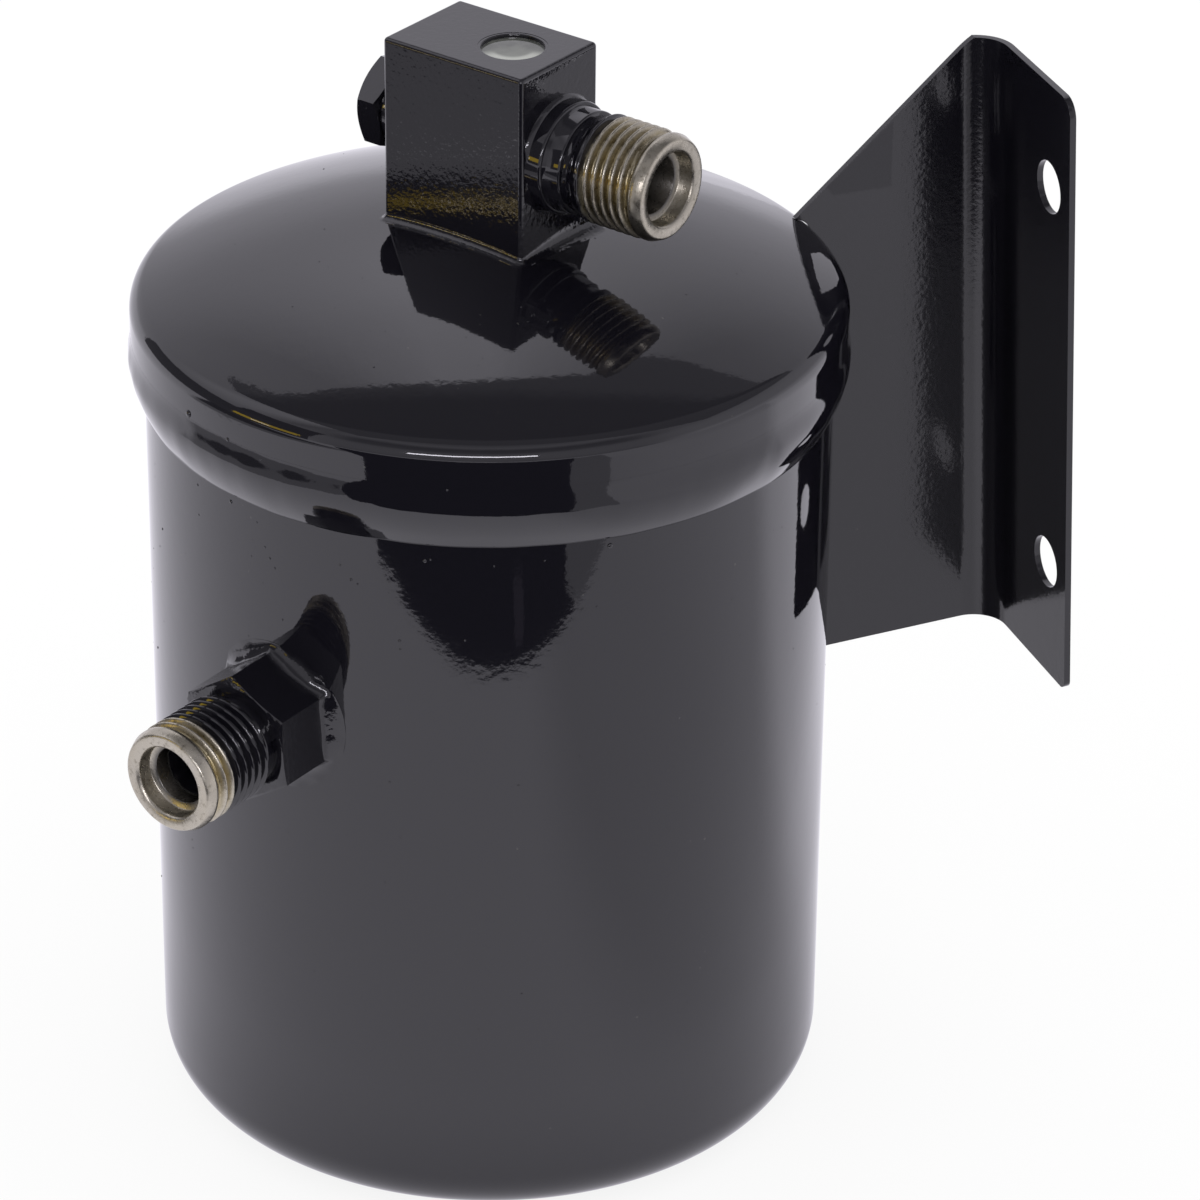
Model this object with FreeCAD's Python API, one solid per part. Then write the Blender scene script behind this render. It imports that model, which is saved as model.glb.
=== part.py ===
import FreeCAD, Part
import math
import os

from FreeCAD import Vector

# Receiver drier for a vehicle air-conditioning circuit. All sizes are millimetres and degrees.
# The origin is the middle of the can's flat bottom, +Z runs up the can's axis, and +X points
# along the web of the mounting bracket. Angles are measured about +Z from +X.

# Can
can_diameter = 101.6
can_wall = 2.0
can_corner_radius = 8.7
can_height = 127.3

# Lid: a drawn cap whose skirt slides over the can
lid_wall = 1.8
lid_fit = 0.1
lid_rise = 15.2
lid_crown_radius = 128.0
lid_knuckle_radius = 3.5
lid_skirt_length = 6.6
lid_hole_clearance = 0.2

# Weld that joins the lid's skirt to the can
seam_length = 7.0
seam_toe = 0.3
seam_swell = 0.15

# Outlet block on the lid
block_length = 25.2
block_width = 17.8
block_height = 28.6
block_edge = 0.7
block_angle = -57.65
block_boss_radius = 6.0
block_boss_length = 6.5
block_weld_radius = 1.2
bottom_passage_radius = 3.0

# Sight glass in the block's top face
glass_offset = 4.1
glass_radius = 4.6
glass_thickness = 3.6
glass_dome_radius = 45.0
glass_recess = 0.35
glass_shell_wall = 0.45
glass_shell_lip = 0.6
glass_well_depth = 5.8
glass_seal_section = 1.5
glass_seal_bevel = 0.3
glass_port_radius = 2.6
glass_fit = 0.05

# Hexagons: the circle that their corners are turned down to, as a share of their width
hex_turned_share = 0.97
hex_turned_angle = 30.0

# Both pipe fittings: outside thread, flat nose and stepped pilot bore
thread_radius = 8.0
thread_lead_in = 0.9
nose_length = 2.5
nose_radius = 7.4
pilot_radius = 5.4
pilot_depth = 2.7
pilot_chamfer = 0.45
flow_radius = 4.25
fitting_fit = 0.1

# Outlet fitting, pressed into the block and brazed
outlet_reach = 32.5
outlet_collar_radius = 8.35
outlet_collar_length = 2.7
outlet_collar_chamfer = 0.5
outlet_neck_radius = 7.7
outlet_neck_length = 3.0
outlet_neck_chamfer = 0.3
outlet_groove_radius = 7.1
outlet_groove_length = 1.0
outlet_spigot_radius = 6.4
outlet_spigot_length = 7.0
outlet_braze_leg = 0.6

# Hex plug in the block's other end
plug_hex = 12.7
plug_head = 4.2
plug_head_turn = -12.0
plug_collar_radius = 6.0
plug_collar_length = 1.6
plug_shank_radius = 4.8
plug_shank_length = 6.5
plug_hole_fit = 0.1
plug_seal_radius = 6.4
plug_seal_thickness = 1.2

# Inlet fitting on the can's side
inlet_angle = -146.8
inlet_height = 82.4
inlet_stand = 24.5
inlet_thread_length = 15.0
inlet_hex = 17.6
inlet_hex_turn = 3.5
inlet_relief_radius = 7.1
inlet_relief_length = 1.1
inlet_spigot_radius = 7.4
inlet_spigot_depth = 2.6
inlet_weld_leg = 2.2
inlet_weld_root = 3.0

# Mounting bracket: one bent sheet welded to the can's side
sheet = 1.0
bracket_web_offset = 3.76
bracket_lean = 2.6
bracket_lean_height = 100.0
bracket_bottom = 57.6
bracket_height = 99.2
bracket_stand = 33.6
flange_width = 27.4
bracket_bend_radius = 5.4
bracket_corner_top = 3.0
bracket_corner_bottom = 1.5
brace_from_can = 0.7
brace_start_height = 132.7
brace_angle = 40.0
hole_radius = 4.1
hole_spacing = 63.5
hole_rise = 19.1
hole_from_web = 20.2
bracket_gap = 0.1
bracket_weld_leg = 2.4
bracket_weld_seam_gap = 2.5
bracket_weld_start = 1.2

# Pickup tube and its strainer
tube_radius = 4.0
tube_wall = 0.8
tube_socket = 5.0
tube_floor_gap = 5.0
tube_fit = 0.05
strainer_radius = 7.5
strainer_height = 13.0
strainer_wall = 0.6
strainer_floor_gap = 1.6
strainer_window = 1.6
strainer_windows = 12
strainer_window_height = 8.0

# Desiccant cartridge between two perforated plates
plate_sheet = 1.0
plate_fit = 0.4
lower_plate_height = 20.0
upper_rim_height = 5.0
pad_thickness = 5.0
bed_depth = 36.0
plate_hole_radius = 2.2
plate_hole_rings = ((6, 17.0), (12, 33.0))
plate_core_fit = 0.15
grommet_radius = 7.0
grommet_flange = 1.5
grommet_flange_radius = 9.0

# Spring that holds the cartridge down
spring_wire_radius = 1.1
spring_coil_radius = 20.0
spring_turns = 5
spring_lid_gap = 0.1
spring_arcs_per_turn = 8

# Working allowances: how far a cutter runs past a face, and how far two shapes that become
# one solid run into each other
overrun = 1.0
overlap = 0.5

# Sizes that follow from the values above
can_radius = can_diameter / 2
can_bore = can_radius - can_wall
skirt_bore = can_radius + lid_fit
skirt_radius = skirt_bore + lid_wall
lid_crown_height = can_height + lid_rise
crown_inner_radius = lid_crown_radius - lid_wall
knuckle_inner_radius = lid_knuckle_radius - lid_wall
crown_centre = lid_crown_height - lid_crown_radius
knuckle_centre_radius = skirt_radius - lid_knuckle_radius
knuckle_centre_height = crown_centre + math.sqrt(
    (lid_crown_radius - lid_knuckle_radius) ** 2 - knuckle_centre_radius ** 2
)
skirt_bottom = knuckle_centre_height - lid_skirt_length
seam_bottom = skirt_bottom - seam_length
crown_at_corner = crown_centre + math.sqrt(
    lid_crown_radius ** 2 - (block_length ** 2 + block_width ** 2) / 4
)
block_top = crown_at_corner + block_height
port_height = block_top - block_height / 2
outlet_face = block_length / 2
block_boss_bottom = lid_crown_height - block_boss_length
inlet_reach = can_radius + inlet_stand
inlet_hex_face = inlet_reach - inlet_thread_length
bracket_reach = can_radius + bracket_stand
bracket_top = bracket_bottom + bracket_height
bracket_tip = bracket_web_offset - flange_width
brace_start = can_radius + brace_from_can
bracket_weld_top = seam_bottom - bracket_weld_seam_gap
inside_can = can_radius - 3 * can_wall
plate_radius = can_bore - plate_fit
core_radius = tube_radius + plate_core_fit
lower_rim_foot = can_corner_radius - math.sqrt(
    (can_corner_radius - can_wall) ** 2 - (plate_radius - can_radius + can_corner_radius) ** 2
)
lower_pad_bottom = lower_plate_height + plate_sheet
bed_bottom = lower_pad_bottom + pad_thickness
bed_top = bed_bottom + bed_depth
upper_plate_bottom = bed_top + pad_thickness
spring_bottom = upper_plate_bottom + plate_sheet
spring_top = crown_centre - spring_lid_gap + math.sqrt(
    crown_inner_radius ** 2 - (spring_coil_radius + spring_wire_radius) ** 2
)

UP = Vector(0, 0, 1)
ORIGIN = Vector(0, 0, 0)


def closed_face(edges):
    """Make a face from edges that close on themselves."""
    return Part.Face(Part.Wire(Part.__sortEdges__(edges)))


def section_edges(points):
    """Edges in the XZ plane; a point is (radius, height), or ("arc", middle, end)."""
    edges = []
    here = Vector(points[0][0], 0, points[0][1])
    for item in list(points[1:]) + [points[0]]:
        if item[0] == "arc":
            middle = Vector(item[1][0], 0, item[1][1])
            there = Vector(item[2][0], 0, item[2][1])
            edges.append(Part.Arc(here, middle, there).toShape())
        else:
            there = Vector(item[0], 0, item[1])
            if (there - here).Length < 1e-7:
                continue
            edges.append(Part.LineSegment(here, there).toShape())
        here = there
    return edges


def turned(points):
    """A solid of revolution about Z from its half section."""
    return closed_face(section_edges(points)).revolve(ORIGIN, UP, 360)


def on_circle(centre, radius, angle):
    """Point of a circle in the half section, with the angle above the horizontal."""
    turn = math.radians(angle)
    return (centre[0] + radius * math.cos(turn), centre[1] + radius * math.sin(turn))


def aimed(shape, angle, height):
    """Lay a shape that was turned about Z along a level direction at a height."""
    laid = shape.copy()
    laid.rotate(ORIGIN, Vector(0, 1, 0), 90)
    laid.rotate(ORIGIN, UP, angle)
    laid.translate(Vector(0, 0, height))
    return laid


def rod(radius, start, end):
    """A plain cylinder about Z between two stations."""
    return Part.makeCylinder(radius, end - start, Vector(0, 0, start))


def tube(outer, inner, start, end):
    """A plain sleeve about Z between two stations."""
    return rod(outer, start, end).cut(rod(inner, start, end))


def hex_wire(across_flats, station, turn):
    """Outline of a hexagon about Z at a station, with its corners turned by an angle."""
    corner = across_flats / math.sqrt(3)
    turns = [math.radians(turn + 60 * i) for i in range(7)]
    return Part.makePolygon([Vector(corner * math.cos(t), corner * math.sin(t), station) for t in turns])


def hex_prism(across_flats, start, end, turn):
    """A hexagonal prism about Z with its corners turned by an angle."""
    return Part.Face(hex_wire(across_flats, start, turn)).extrude(Vector(0, 0, end - start))


def chamfered_hex(across_flats, start, end, turn, both):
    """A hexagon whose corners are turned off at its outer end, or at both."""
    corner = across_flats / math.sqrt(3) + overlap
    flat = across_flats / 2 * hex_turned_share
    fall = (corner - flat) * math.tan(math.radians(hex_turned_angle))
    inner_start = (flat, start) if both else (corner, start)
    points = [(0, start), inner_start]
    if both:
        points.append((corner, start + fall))
    points += [(corner, end - fall), (flat, end), (0, end)]
    return hex_prism(across_flats, start, end, turn).common(turned(points))


def lid_outline(inset):
    """Half section of the lid's outer surface, moved inwards by an inset, from skirt to crown."""
    crown = lid_crown_radius - inset
    knuckle = lid_knuckle_radius - inset
    centre = (knuckle_centre_radius, knuckle_centre_height)
    meet = math.degrees(math.atan2(knuckle_centre_height - crown_centre, knuckle_centre_radius))
    crown_arc = ("arc", on_circle((0, crown_centre), crown, (meet + 90) / 2), (0, crown_centre + crown))
    knuckle_arc = ("arc", on_circle(centre, knuckle, meet / 2), on_circle(centre, knuckle, meet))
    skirt = [(skirt_radius - inset, skirt_bottom), (skirt_radius - inset, knuckle_centre_height)]
    return skirt + [knuckle_arc, crown_arc]


def seam_bead(growth):
    """Arc of the seam weld's outer surface from its toe to the skirt, grown by a gap."""
    toe = (can_radius + seam_toe + growth, seam_bottom + seam_toe)
    out = (skirt_radius + can_radius + seam_toe) / 2 + seam_swell + growth
    return [toe, ("arc", (out, (skirt_bottom + seam_bottom) / 2), (skirt_radius + growth, skirt_bottom))]


def lid_envelope(growth):
    """The solid space inside the can's wall, the seam weld and the lid, grown by a gap."""
    start = seam_bottom - growth
    points = [(0, -growth), (can_radius + growth, -growth), (can_radius + growth, start)]
    points += [(can_radius + seam_toe + growth, start)]
    return turned(points + seam_bead(growth) + lid_outline(-growth)[1:])


def crown_ball(radius):
    """The ball that the lid's crown is part of."""
    return Part.makeSphere(radius, Vector(0, 0, crown_centre))


def make_can():
    """Deep-drawn can with a rounded bottom corner and a hole for the inlet."""
    outer = can_corner_radius
    inner = can_corner_radius - can_wall
    centre = (can_radius - can_corner_radius, can_corner_radius)
    shell = turned([
        (0, 0),
        (centre[0], 0),
        ("arc", on_circle(centre, outer, -45), (can_radius, outer)),
        (can_radius, can_height),
        (can_bore, can_height),
        (can_bore, outer),
        ("arc", on_circle(centre, inner, -45), (centre[0], can_wall)),
        (0, can_wall),
    ])
    hole = rod(inlet_spigot_radius + fitting_fit, inside_can, can_radius + overrun)
    return shell.cut(aimed(hole, inlet_angle, inlet_height))


def make_lid():
    """Drawn lid: shallow crown, tight knuckle, straight skirt and a hole for the block's boss."""
    outside = lid_outline(0)
    shell = turned([(0, skirt_bottom)] + outside)
    hollow = turned([(0, skirt_bottom)] + lid_outline(lid_wall))
    hole = rod(block_boss_radius + lid_hole_clearance, block_boss_bottom, lid_crown_height + lid_wall)
    return shell.cut(hollow).cut(hole)


def make_seam_weld():
    """Weld bead that runs down from the skirt's edge to the can's wall."""
    return turned([(can_radius, seam_bottom)] + seam_bead(0) + [(can_radius, skirt_bottom)])


def block_body(bottom, top):
    """The block's outside with rounded edges between two heights, turned to the block's angle."""
    low_corner = Vector(-block_length / 2, -block_width / 2, bottom)
    box = Part.makeBox(block_length, block_width, top - bottom, low_corner)
    box = box.makeFillet(block_edge, [edge for edge in box.Edges if edge.CenterOfMass.z > bottom])
    box.rotate(ORIGIN, UP, block_angle)
    return box


def block_passages():
    """Everything drilled into the block, as one cutter."""
    spigot_end = outlet_face - outlet_spigot_length
    plug_depth = outlet_face - plug_shank_length
    outlet = rod(outlet_spigot_radius + fitting_fit, spigot_end, outlet_face + overrun)
    outlet = outlet.fuse(rod(flow_radius, 0, spigot_end))
    plug = rod(plug_shank_radius + plug_hole_fit, plug_depth, outlet_face + overrun)
    plug = plug.fuse(rod(flow_radius, 0, plug_depth))
    cutter = aimed(outlet, block_angle, port_height).fuse(aimed(plug, block_angle + 180, port_height))
    cutter = cutter.fuse(rod(bottom_passage_radius, block_boss_bottom, port_height))
    cutter = cutter.fuse(rod(tube_radius + tube_fit, block_boss_bottom, block_boss_bottom + tube_socket))
    well = rod(glass_radius + glass_shell_wall + glass_fit, block_top - glass_well_depth, block_top + overrun)
    well = well.fuse(rod(glass_port_radius, port_height, block_top))
    well.translate(glass_place())
    return cutter.fuse(well)


def glass_place():
    """Level offset of the sight glass from the can's axis."""
    turn = math.radians(block_angle)
    return Vector(glass_offset * math.cos(turn), glass_offset * math.sin(turn), 0)


def make_top_block():
    """Machined block that sits on the crown, with a boss through the lid."""
    body = block_body(crown_at_corner - overrun, block_top).cut(crown_ball(lid_crown_radius))
    boss = rod(block_boss_radius, block_boss_bottom, port_height - block_boss_radius)
    return body.fuse(boss).cut(block_passages()).removeSplitter()


def make_block_weld():
    """Brazed hollow fillet all round the foot of the block."""
    ball = crown_ball(lid_crown_radius)
    body = block_body(crown_at_corner - overrun, block_top)
    joined = ball.fuse(body)
    low = crown_at_corner - overlap
    high = lid_crown_height
    foot = [edge for edge in joined.Edges
            if low < edge.BoundBox.ZMin and edge.BoundBox.ZMax < high]
    return joined.makeFillet(block_weld_radius, foot).cut(joined)


def make_sight_glass():
    """Round window with a slightly domed face."""
    top = block_top - glass_recess
    centre = (0, top - glass_dome_radius)
    slope = math.degrees(math.acos(glass_radius / glass_dome_radius))
    rim = on_circle(centre, glass_dome_radius, slope)
    glass = turned([
        (0, top - glass_thickness),
        (glass_radius, top - glass_thickness),
        rim,
        ("arc", on_circle(centre, glass_dome_radius, (slope + 90) / 2), (0, top)),
    ])
    glass.translate(glass_place())
    return glass


def make_sight_glass_shell():
    """Steel shell that the window is fused into, with a lip under the glass."""
    top = block_top - glass_recess / 2
    floor = block_top - glass_recess - glass_thickness
    outer = glass_radius + glass_shell_wall
    lip = floor - glass_shell_lip
    shell = turned([
        (glass_port_radius, lip),
        (outer, lip),
        (outer, top),
        (glass_radius, top),
        (glass_radius, floor),
        (glass_port_radius, floor),
    ])
    shell.translate(glass_place())
    return shell


def make_sight_glass_seal():
    """Ring seal squeezed between the shell and the floor of the well."""
    floor = block_top - glass_well_depth
    lip = block_top - glass_recess - glass_thickness - glass_shell_lip
    inner = glass_port_radius + glass_seal_section / 2
    outer = inner + glass_seal_section
    ring = turned([
        (inner, floor + glass_seal_bevel),
        (inner + glass_seal_bevel, floor),
        (outer - glass_seal_bevel, floor),
        (outer, floor + glass_seal_bevel),
        (outer, lip - glass_seal_bevel),
        (outer - glass_seal_bevel, lip),
        (inner + glass_seal_bevel, lip),
        (inner, lip - glass_seal_bevel),
    ])
    ring.translate(glass_place())
    return ring


def fitting_bore(reach, inner_end):
    """Cutter for a fitting's flow passage, pilot bore and mouth chamfer."""
    return turned([
        (0, inner_end - overrun),
        (flow_radius, inner_end - overrun),
        (flow_radius, reach - pilot_depth),
        (pilot_radius, reach - pilot_depth),
        (pilot_radius, reach - pilot_chamfer),
        (pilot_radius + pilot_chamfer, reach),
        (pilot_radius + pilot_chamfer, reach + overrun),
        (0, reach + overrun),
    ])


def make_outlet_fitting():
    """Turned outlet: spigot, collar, neck, groove, threaded barrel and nose."""
    inner_end = outlet_face - outlet_spigot_length
    collar_end = outlet_face + outlet_collar_length
    neck_end = collar_end + outlet_neck_length
    groove_end = neck_end + outlet_groove_length
    body = turned([
        (0, inner_end),
        (outlet_spigot_radius, inner_end),
        (outlet_spigot_radius, outlet_face),
        (outlet_collar_radius, outlet_face),
        (outlet_collar_radius, collar_end - outlet_collar_chamfer),
        (outlet_collar_radius - outlet_collar_chamfer, collar_end),
        (outlet_neck_radius, collar_end),
        (outlet_neck_radius, neck_end - outlet_neck_chamfer),
        (outlet_groove_radius, neck_end),
        (outlet_groove_radius, groove_end),
        (thread_radius, groove_end + thread_lead_in),
        (thread_radius, outlet_reach - nose_length),
        (nose_radius, outlet_reach),
        (0, outlet_reach),
    ])
    return aimed(body.cut(fitting_bore(outlet_reach, inner_end)), block_angle, port_height)


def make_outlet_braze():
    """Braze fillet where the outlet's collar meets the block."""
    start = outlet_face
    ring = turned([
        (outlet_collar_radius, start),
        (outlet_collar_radius + outlet_braze_leg, start),
        (outlet_collar_radius, start + outlet_braze_leg),
    ])
    inside = Part.makeBox(2 * outlet_reach, block_width - 2 * block_edge, block_height,
                          Vector(-outlet_reach, block_edge - block_width / 2, port_height - block_height / 2))
    inside.rotate(ORIGIN, UP, block_angle)
    return aimed(ring, block_angle, port_height).common(inside)


def make_block_plug():
    """Hex plug: head, collar and the shank that screws into the block."""
    seal_end = outlet_face + plug_seal_thickness
    head_start = seal_end + plug_collar_length
    body = chamfered_hex(plug_hex, head_start, head_start + plug_head, plug_head_turn, True)
    body = body.fuse(rod(plug_collar_radius, seal_end, head_start + overlap))
    body = body.fuse(rod(plug_shank_radius, outlet_face - plug_shank_length, seal_end + overlap))
    return aimed(body.removeSplitter(), block_angle + 180, port_height)


def make_plug_seal():
    """Flat sealing washer under the plug's collar."""
    washer = tube(plug_seal_radius, plug_shank_radius + plug_hole_fit, outlet_face,
                  outlet_face + plug_seal_thickness)
    return aimed(washer, block_angle + 180, port_height)


def make_inlet_fitting():
    """Turned inlet from hex bar: spigot in the can, hex body, relief, thread and nose."""
    inner_end = can_bore - inlet_spigot_depth
    relief_end = inlet_hex_face + inlet_relief_length
    barrel = turned([
        (0, inner_end),
        (inlet_spigot_radius, inner_end),
        (inlet_spigot_radius, inlet_hex_face - overlap),
        (inlet_relief_radius, inlet_hex_face - overlap),
        (inlet_relief_radius, relief_end),
        (thread_radius, relief_end + thread_lead_in),
        (thread_radius, inlet_reach - nose_length),
        (nose_radius, inlet_reach),
        (0, inlet_reach),
    ])
    body = chamfered_hex(inlet_hex, can_bore, inlet_hex_face, inlet_hex_turn, False)
    body = aimed(body, inlet_angle, inlet_height).cut(rod(can_radius, 0, can_height))
    barrel = aimed(barrel, inlet_angle, inlet_height)
    bore = aimed(fitting_bore(inlet_reach, inner_end), inlet_angle, inlet_height)
    return body.fuse(barrel).cut(bore).removeSplitter()


def make_inlet_weld():
    """Fillet weld round the hex where it meets the can's curved wall."""
    size = inlet_hex + 2 * inlet_weld_leg
    start = can_radius - inlet_weld_root
    crown = can_radius + inlet_weld_leg
    lower = hex_wire(size, start, inlet_hex_turn)
    upper = hex_wire(inlet_hex, crown, inlet_hex_turn)
    bead = aimed(Part.makeLoft([lower, upper], True, True), inlet_angle, inlet_height)
    core = hex_prism(inlet_hex, start - overrun, crown + overrun, inlet_hex_turn)
    return bead.cut(aimed(core, inlet_angle, inlet_height)).cut(rod(can_radius, 0, can_height))


def corner_arc(start, centre, end):
    """Quarter-round edge from one point to another about a centre."""
    middle = (start + end) / 2 - centre
    return Part.Arc(start, centre + middle * ((start - centre).Length / middle.Length), end).toShape()


def line(start, end):
    """Straight edge between two points."""
    return Part.LineSegment(start, end).toShape()


def bracket_plan():
    """Plan section of the bent sheet: web, bend and flange."""
    face = bracket_web_offset
    back = face + sheet
    front = bracket_reach - sheet
    centre = Vector(front - bracket_bend_radius, face - bracket_bend_radius, 0)
    return closed_face([
        line(Vector(inside_can, face, 0), Vector(centre.x, face, 0)),
        corner_arc(Vector(centre.x, face, 0), centre, Vector(front, centre.y, 0)),
        line(Vector(front, centre.y, 0), Vector(front, bracket_tip, 0)),
        line(Vector(front, bracket_tip, 0), Vector(bracket_reach, bracket_tip, 0)),
        line(Vector(bracket_reach, bracket_tip, 0), Vector(bracket_reach, centre.y, 0)),
        corner_arc(Vector(bracket_reach, centre.y, 0), centre, Vector(centre.x, back, 0)),
        line(Vector(centre.x, back, 0), Vector(inside_can, back, 0)),
        line(Vector(inside_can, back, 0), Vector(inside_can, face, 0)),
    ])


def brace_cutter():
    """Wedge above the web's sloping top edge."""
    rise = math.tan(math.radians(brace_angle))
    low = inside_can - overrun
    high = brace_start + (bracket_top - brace_start_height) / rise
    side = bracket_web_offset + 2 * sheet
    points = [
        Vector(low, side, brace_start_height + (low - brace_start) * rise),
        Vector(high, side, bracket_top),
        Vector(high, side, bracket_top + overrun),
        Vector(low, side, bracket_top + overrun),
    ]
    face = Part.Face(Part.makePolygon(points + points[:1]))
    return face.extrude(Vector(0, -flange_width, 0))


def flange_trim():
    """Rounded outline of the flange seen along X, as a long bar to keep."""
    back = bracket_web_offset + 2 * sheet
    low = Vector(0, bracket_tip + bracket_corner_bottom, bracket_bottom + bracket_corner_bottom)
    high = Vector(0, bracket_tip + bracket_corner_top, bracket_top - bracket_corner_top)
    outline = [
        line(Vector(0, back, bracket_bottom), Vector(0, low.y, bracket_bottom)),
        corner_arc(Vector(0, low.y, bracket_bottom), low, Vector(0, bracket_tip, low.z)),
        line(Vector(0, bracket_tip, low.z), Vector(0, bracket_tip, high.z)),
        corner_arc(Vector(0, bracket_tip, high.z), high, Vector(0, high.y, bracket_top)),
        line(Vector(0, high.y, bracket_top), Vector(0, back, bracket_top)),
        line(Vector(0, back, bracket_top), Vector(0, back, bracket_bottom)),
    ]
    return closed_face(outline).extrude(Vector(2 * bracket_reach, 0, 0))


def lean(shape):
    """Tip the bracket about its weld so that its foot stands further out than its head."""
    tipped = shape.copy()
    tipped.rotate(Vector(can_radius, 0, bracket_lean_height), Vector(0, 1, 0), -bracket_lean)
    return tipped


def make_mounting_bracket():
    """Sheet bracket: web with a sloping top edge, bend, and flange with two bolt holes."""
    blank = bracket_plan().extrude(Vector(0, 0, bracket_height))
    blank.translate(Vector(0, 0, bracket_bottom))
    blank = blank.cut(brace_cutter()).common(flange_trim())
    for row in range(2):
        centre = Vector(bracket_reach - 2 * sheet, bracket_web_offset - hole_from_web,
                        bracket_bottom + hole_rise + row * hole_spacing)
        blank = blank.cut(Part.makeCylinder(hole_radius, 3 * sheet, centre, Vector(1, 0, 0)))
    return lean(blank).cut(lid_envelope(bracket_gap))


def make_bracket_weld():
    """Fillet welds down both sides of the web, on the can's wall."""
    start = bracket_bottom + bracket_weld_start
    length = bracket_weld_top - start
    runs = []
    for side, face in ((-1, bracket_web_offset), (1, bracket_web_offset + sheet)):
        away = face + side * bracket_weld_leg
        points = [
            Vector(inside_can, face, start),
            Vector(can_radius + bracket_weld_leg, face, start),
            Vector(math.sqrt(can_radius ** 2 - away ** 2), away, start),
            Vector(inside_can, away, start),
        ]
        run = Part.Face(Part.makePolygon(points + points[:1])).extrude(Vector(0, 0, length))
        runs.append(run.cut(rod(can_radius, 0, can_height)))
    return Part.makeCompound(runs)


def make_pickup_tube():
    """Tube that draws liquid from the bottom of the can up to the block."""
    top = block_boss_bottom + tube_socket
    return tube(tube_radius, tube_radius - tube_wall, can_wall + tube_floor_gap, top)


def make_strainer():
    """Slotted strainer cup round the tube's lower end."""
    floor = can_wall + strainer_floor_gap
    top = floor + strainer_height
    cup = turned([
        (0, floor),
        (strainer_radius, floor),
        (strainer_radius, top),
        (tube_radius + tube_fit, top),
        (tube_radius + tube_fit, top - strainer_wall),
        (strainer_radius - strainer_wall, top - strainer_wall),
        (strainer_radius - strainer_wall, floor + strainer_wall),
        (0, floor + strainer_wall),
    ])
    half_slot = strainer_radius + overrun
    sill = floor + (strainer_height - strainer_window_height) / 2
    for step in range(strainer_windows // 2):
        slot = Part.makeBox(2 * half_slot, strainer_window, strainer_window_height,
                            Vector(-half_slot, -strainer_window / 2, sill))
        slot.rotate(ORIGIN, UP, step * 360 / strainer_windows)
        slot = slot.cut(rod(strainer_radius - strainer_wall, floor, top))
        cup = cup.cut(slot)
    return cup


def perforated(disc, bottom):
    """Drill rings of holes through a plate."""
    drills = []
    for count, ring in plate_hole_rings:
        for step in range(count):
            turn = 2 * math.pi * step / count
            foot = Vector(ring * math.cos(turn), ring * math.sin(turn), bottom - overrun)
            drills.append(Part.makeCylinder(plate_hole_radius, plate_sheet + 2 * overrun, foot))
    return disc.cut(Part.makeCompound(drills))


def make_lower_plate():
    """Perforated plate whose rim stands on the can's bottom corner."""
    top = lower_plate_height + plate_sheet
    cup = turned([
        (core_radius, lower_plate_height),
        (plate_radius - plate_sheet, lower_plate_height),
        (plate_radius - plate_sheet, lower_rim_foot),
        (plate_radius, lower_rim_foot),
        (plate_radius, top),
        (core_radius, top),
    ])
    return perforated(cup, lower_plate_height)


def make_upper_plate():
    """Perforated plate with an upturned rim, pressed down by the spring."""
    bottom = upper_plate_bottom
    top = bottom + plate_sheet
    core = grommet_radius + plate_core_fit
    dish = turned([
        (core, bottom),
        (plate_radius, bottom),
        (plate_radius, bottom + upper_rim_height),
        (plate_radius - plate_sheet, bottom + upper_rim_height),
        (plate_radius - plate_sheet, top),
        (core, top),
    ])
    return perforated(dish, bottom)


def make_tube_grommet():
    """Bush that guides the tube through the upper plate."""
    bottom = upper_plate_bottom
    top = bottom + plate_sheet + grommet_flange
    return turned([
        (tube_radius + tube_fit, bottom),
        (grommet_radius, bottom),
        (grommet_radius, bottom + plate_sheet),
        (grommet_flange_radius, bottom + plate_sheet),
        (grommet_flange_radius, top),
        (tube_radius + tube_fit, top),
    ])


def make_bed_spring():
    """Round-wire coil spring between the upper plate and the underside of the lid."""
    low = spring_bottom + spring_wire_radius
    rise = spring_top - spring_wire_radius - low
    steps = spring_turns * spring_arcs_per_turn

    def on_coil(step):
        """Point of the coil's centre line after a number of arcs."""
        turn = 2 * math.pi * step / spring_arcs_per_turn
        return Vector(spring_coil_radius * math.cos(turn), spring_coil_radius * math.sin(turn),
                      low + rise * step / steps)

    arcs = [Part.Arc(on_coil(i), on_coil(i + 0.5), on_coil(i + 1)).toShape() for i in range(steps)]
    wire = Part.Wire(Part.makeCircle(spring_wire_radius, on_coil(0), on_coil(0.01) - on_coil(-0.01)))
    return Part.Wire(arcs).makePipeShell([wire], True, False, 1)


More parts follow.
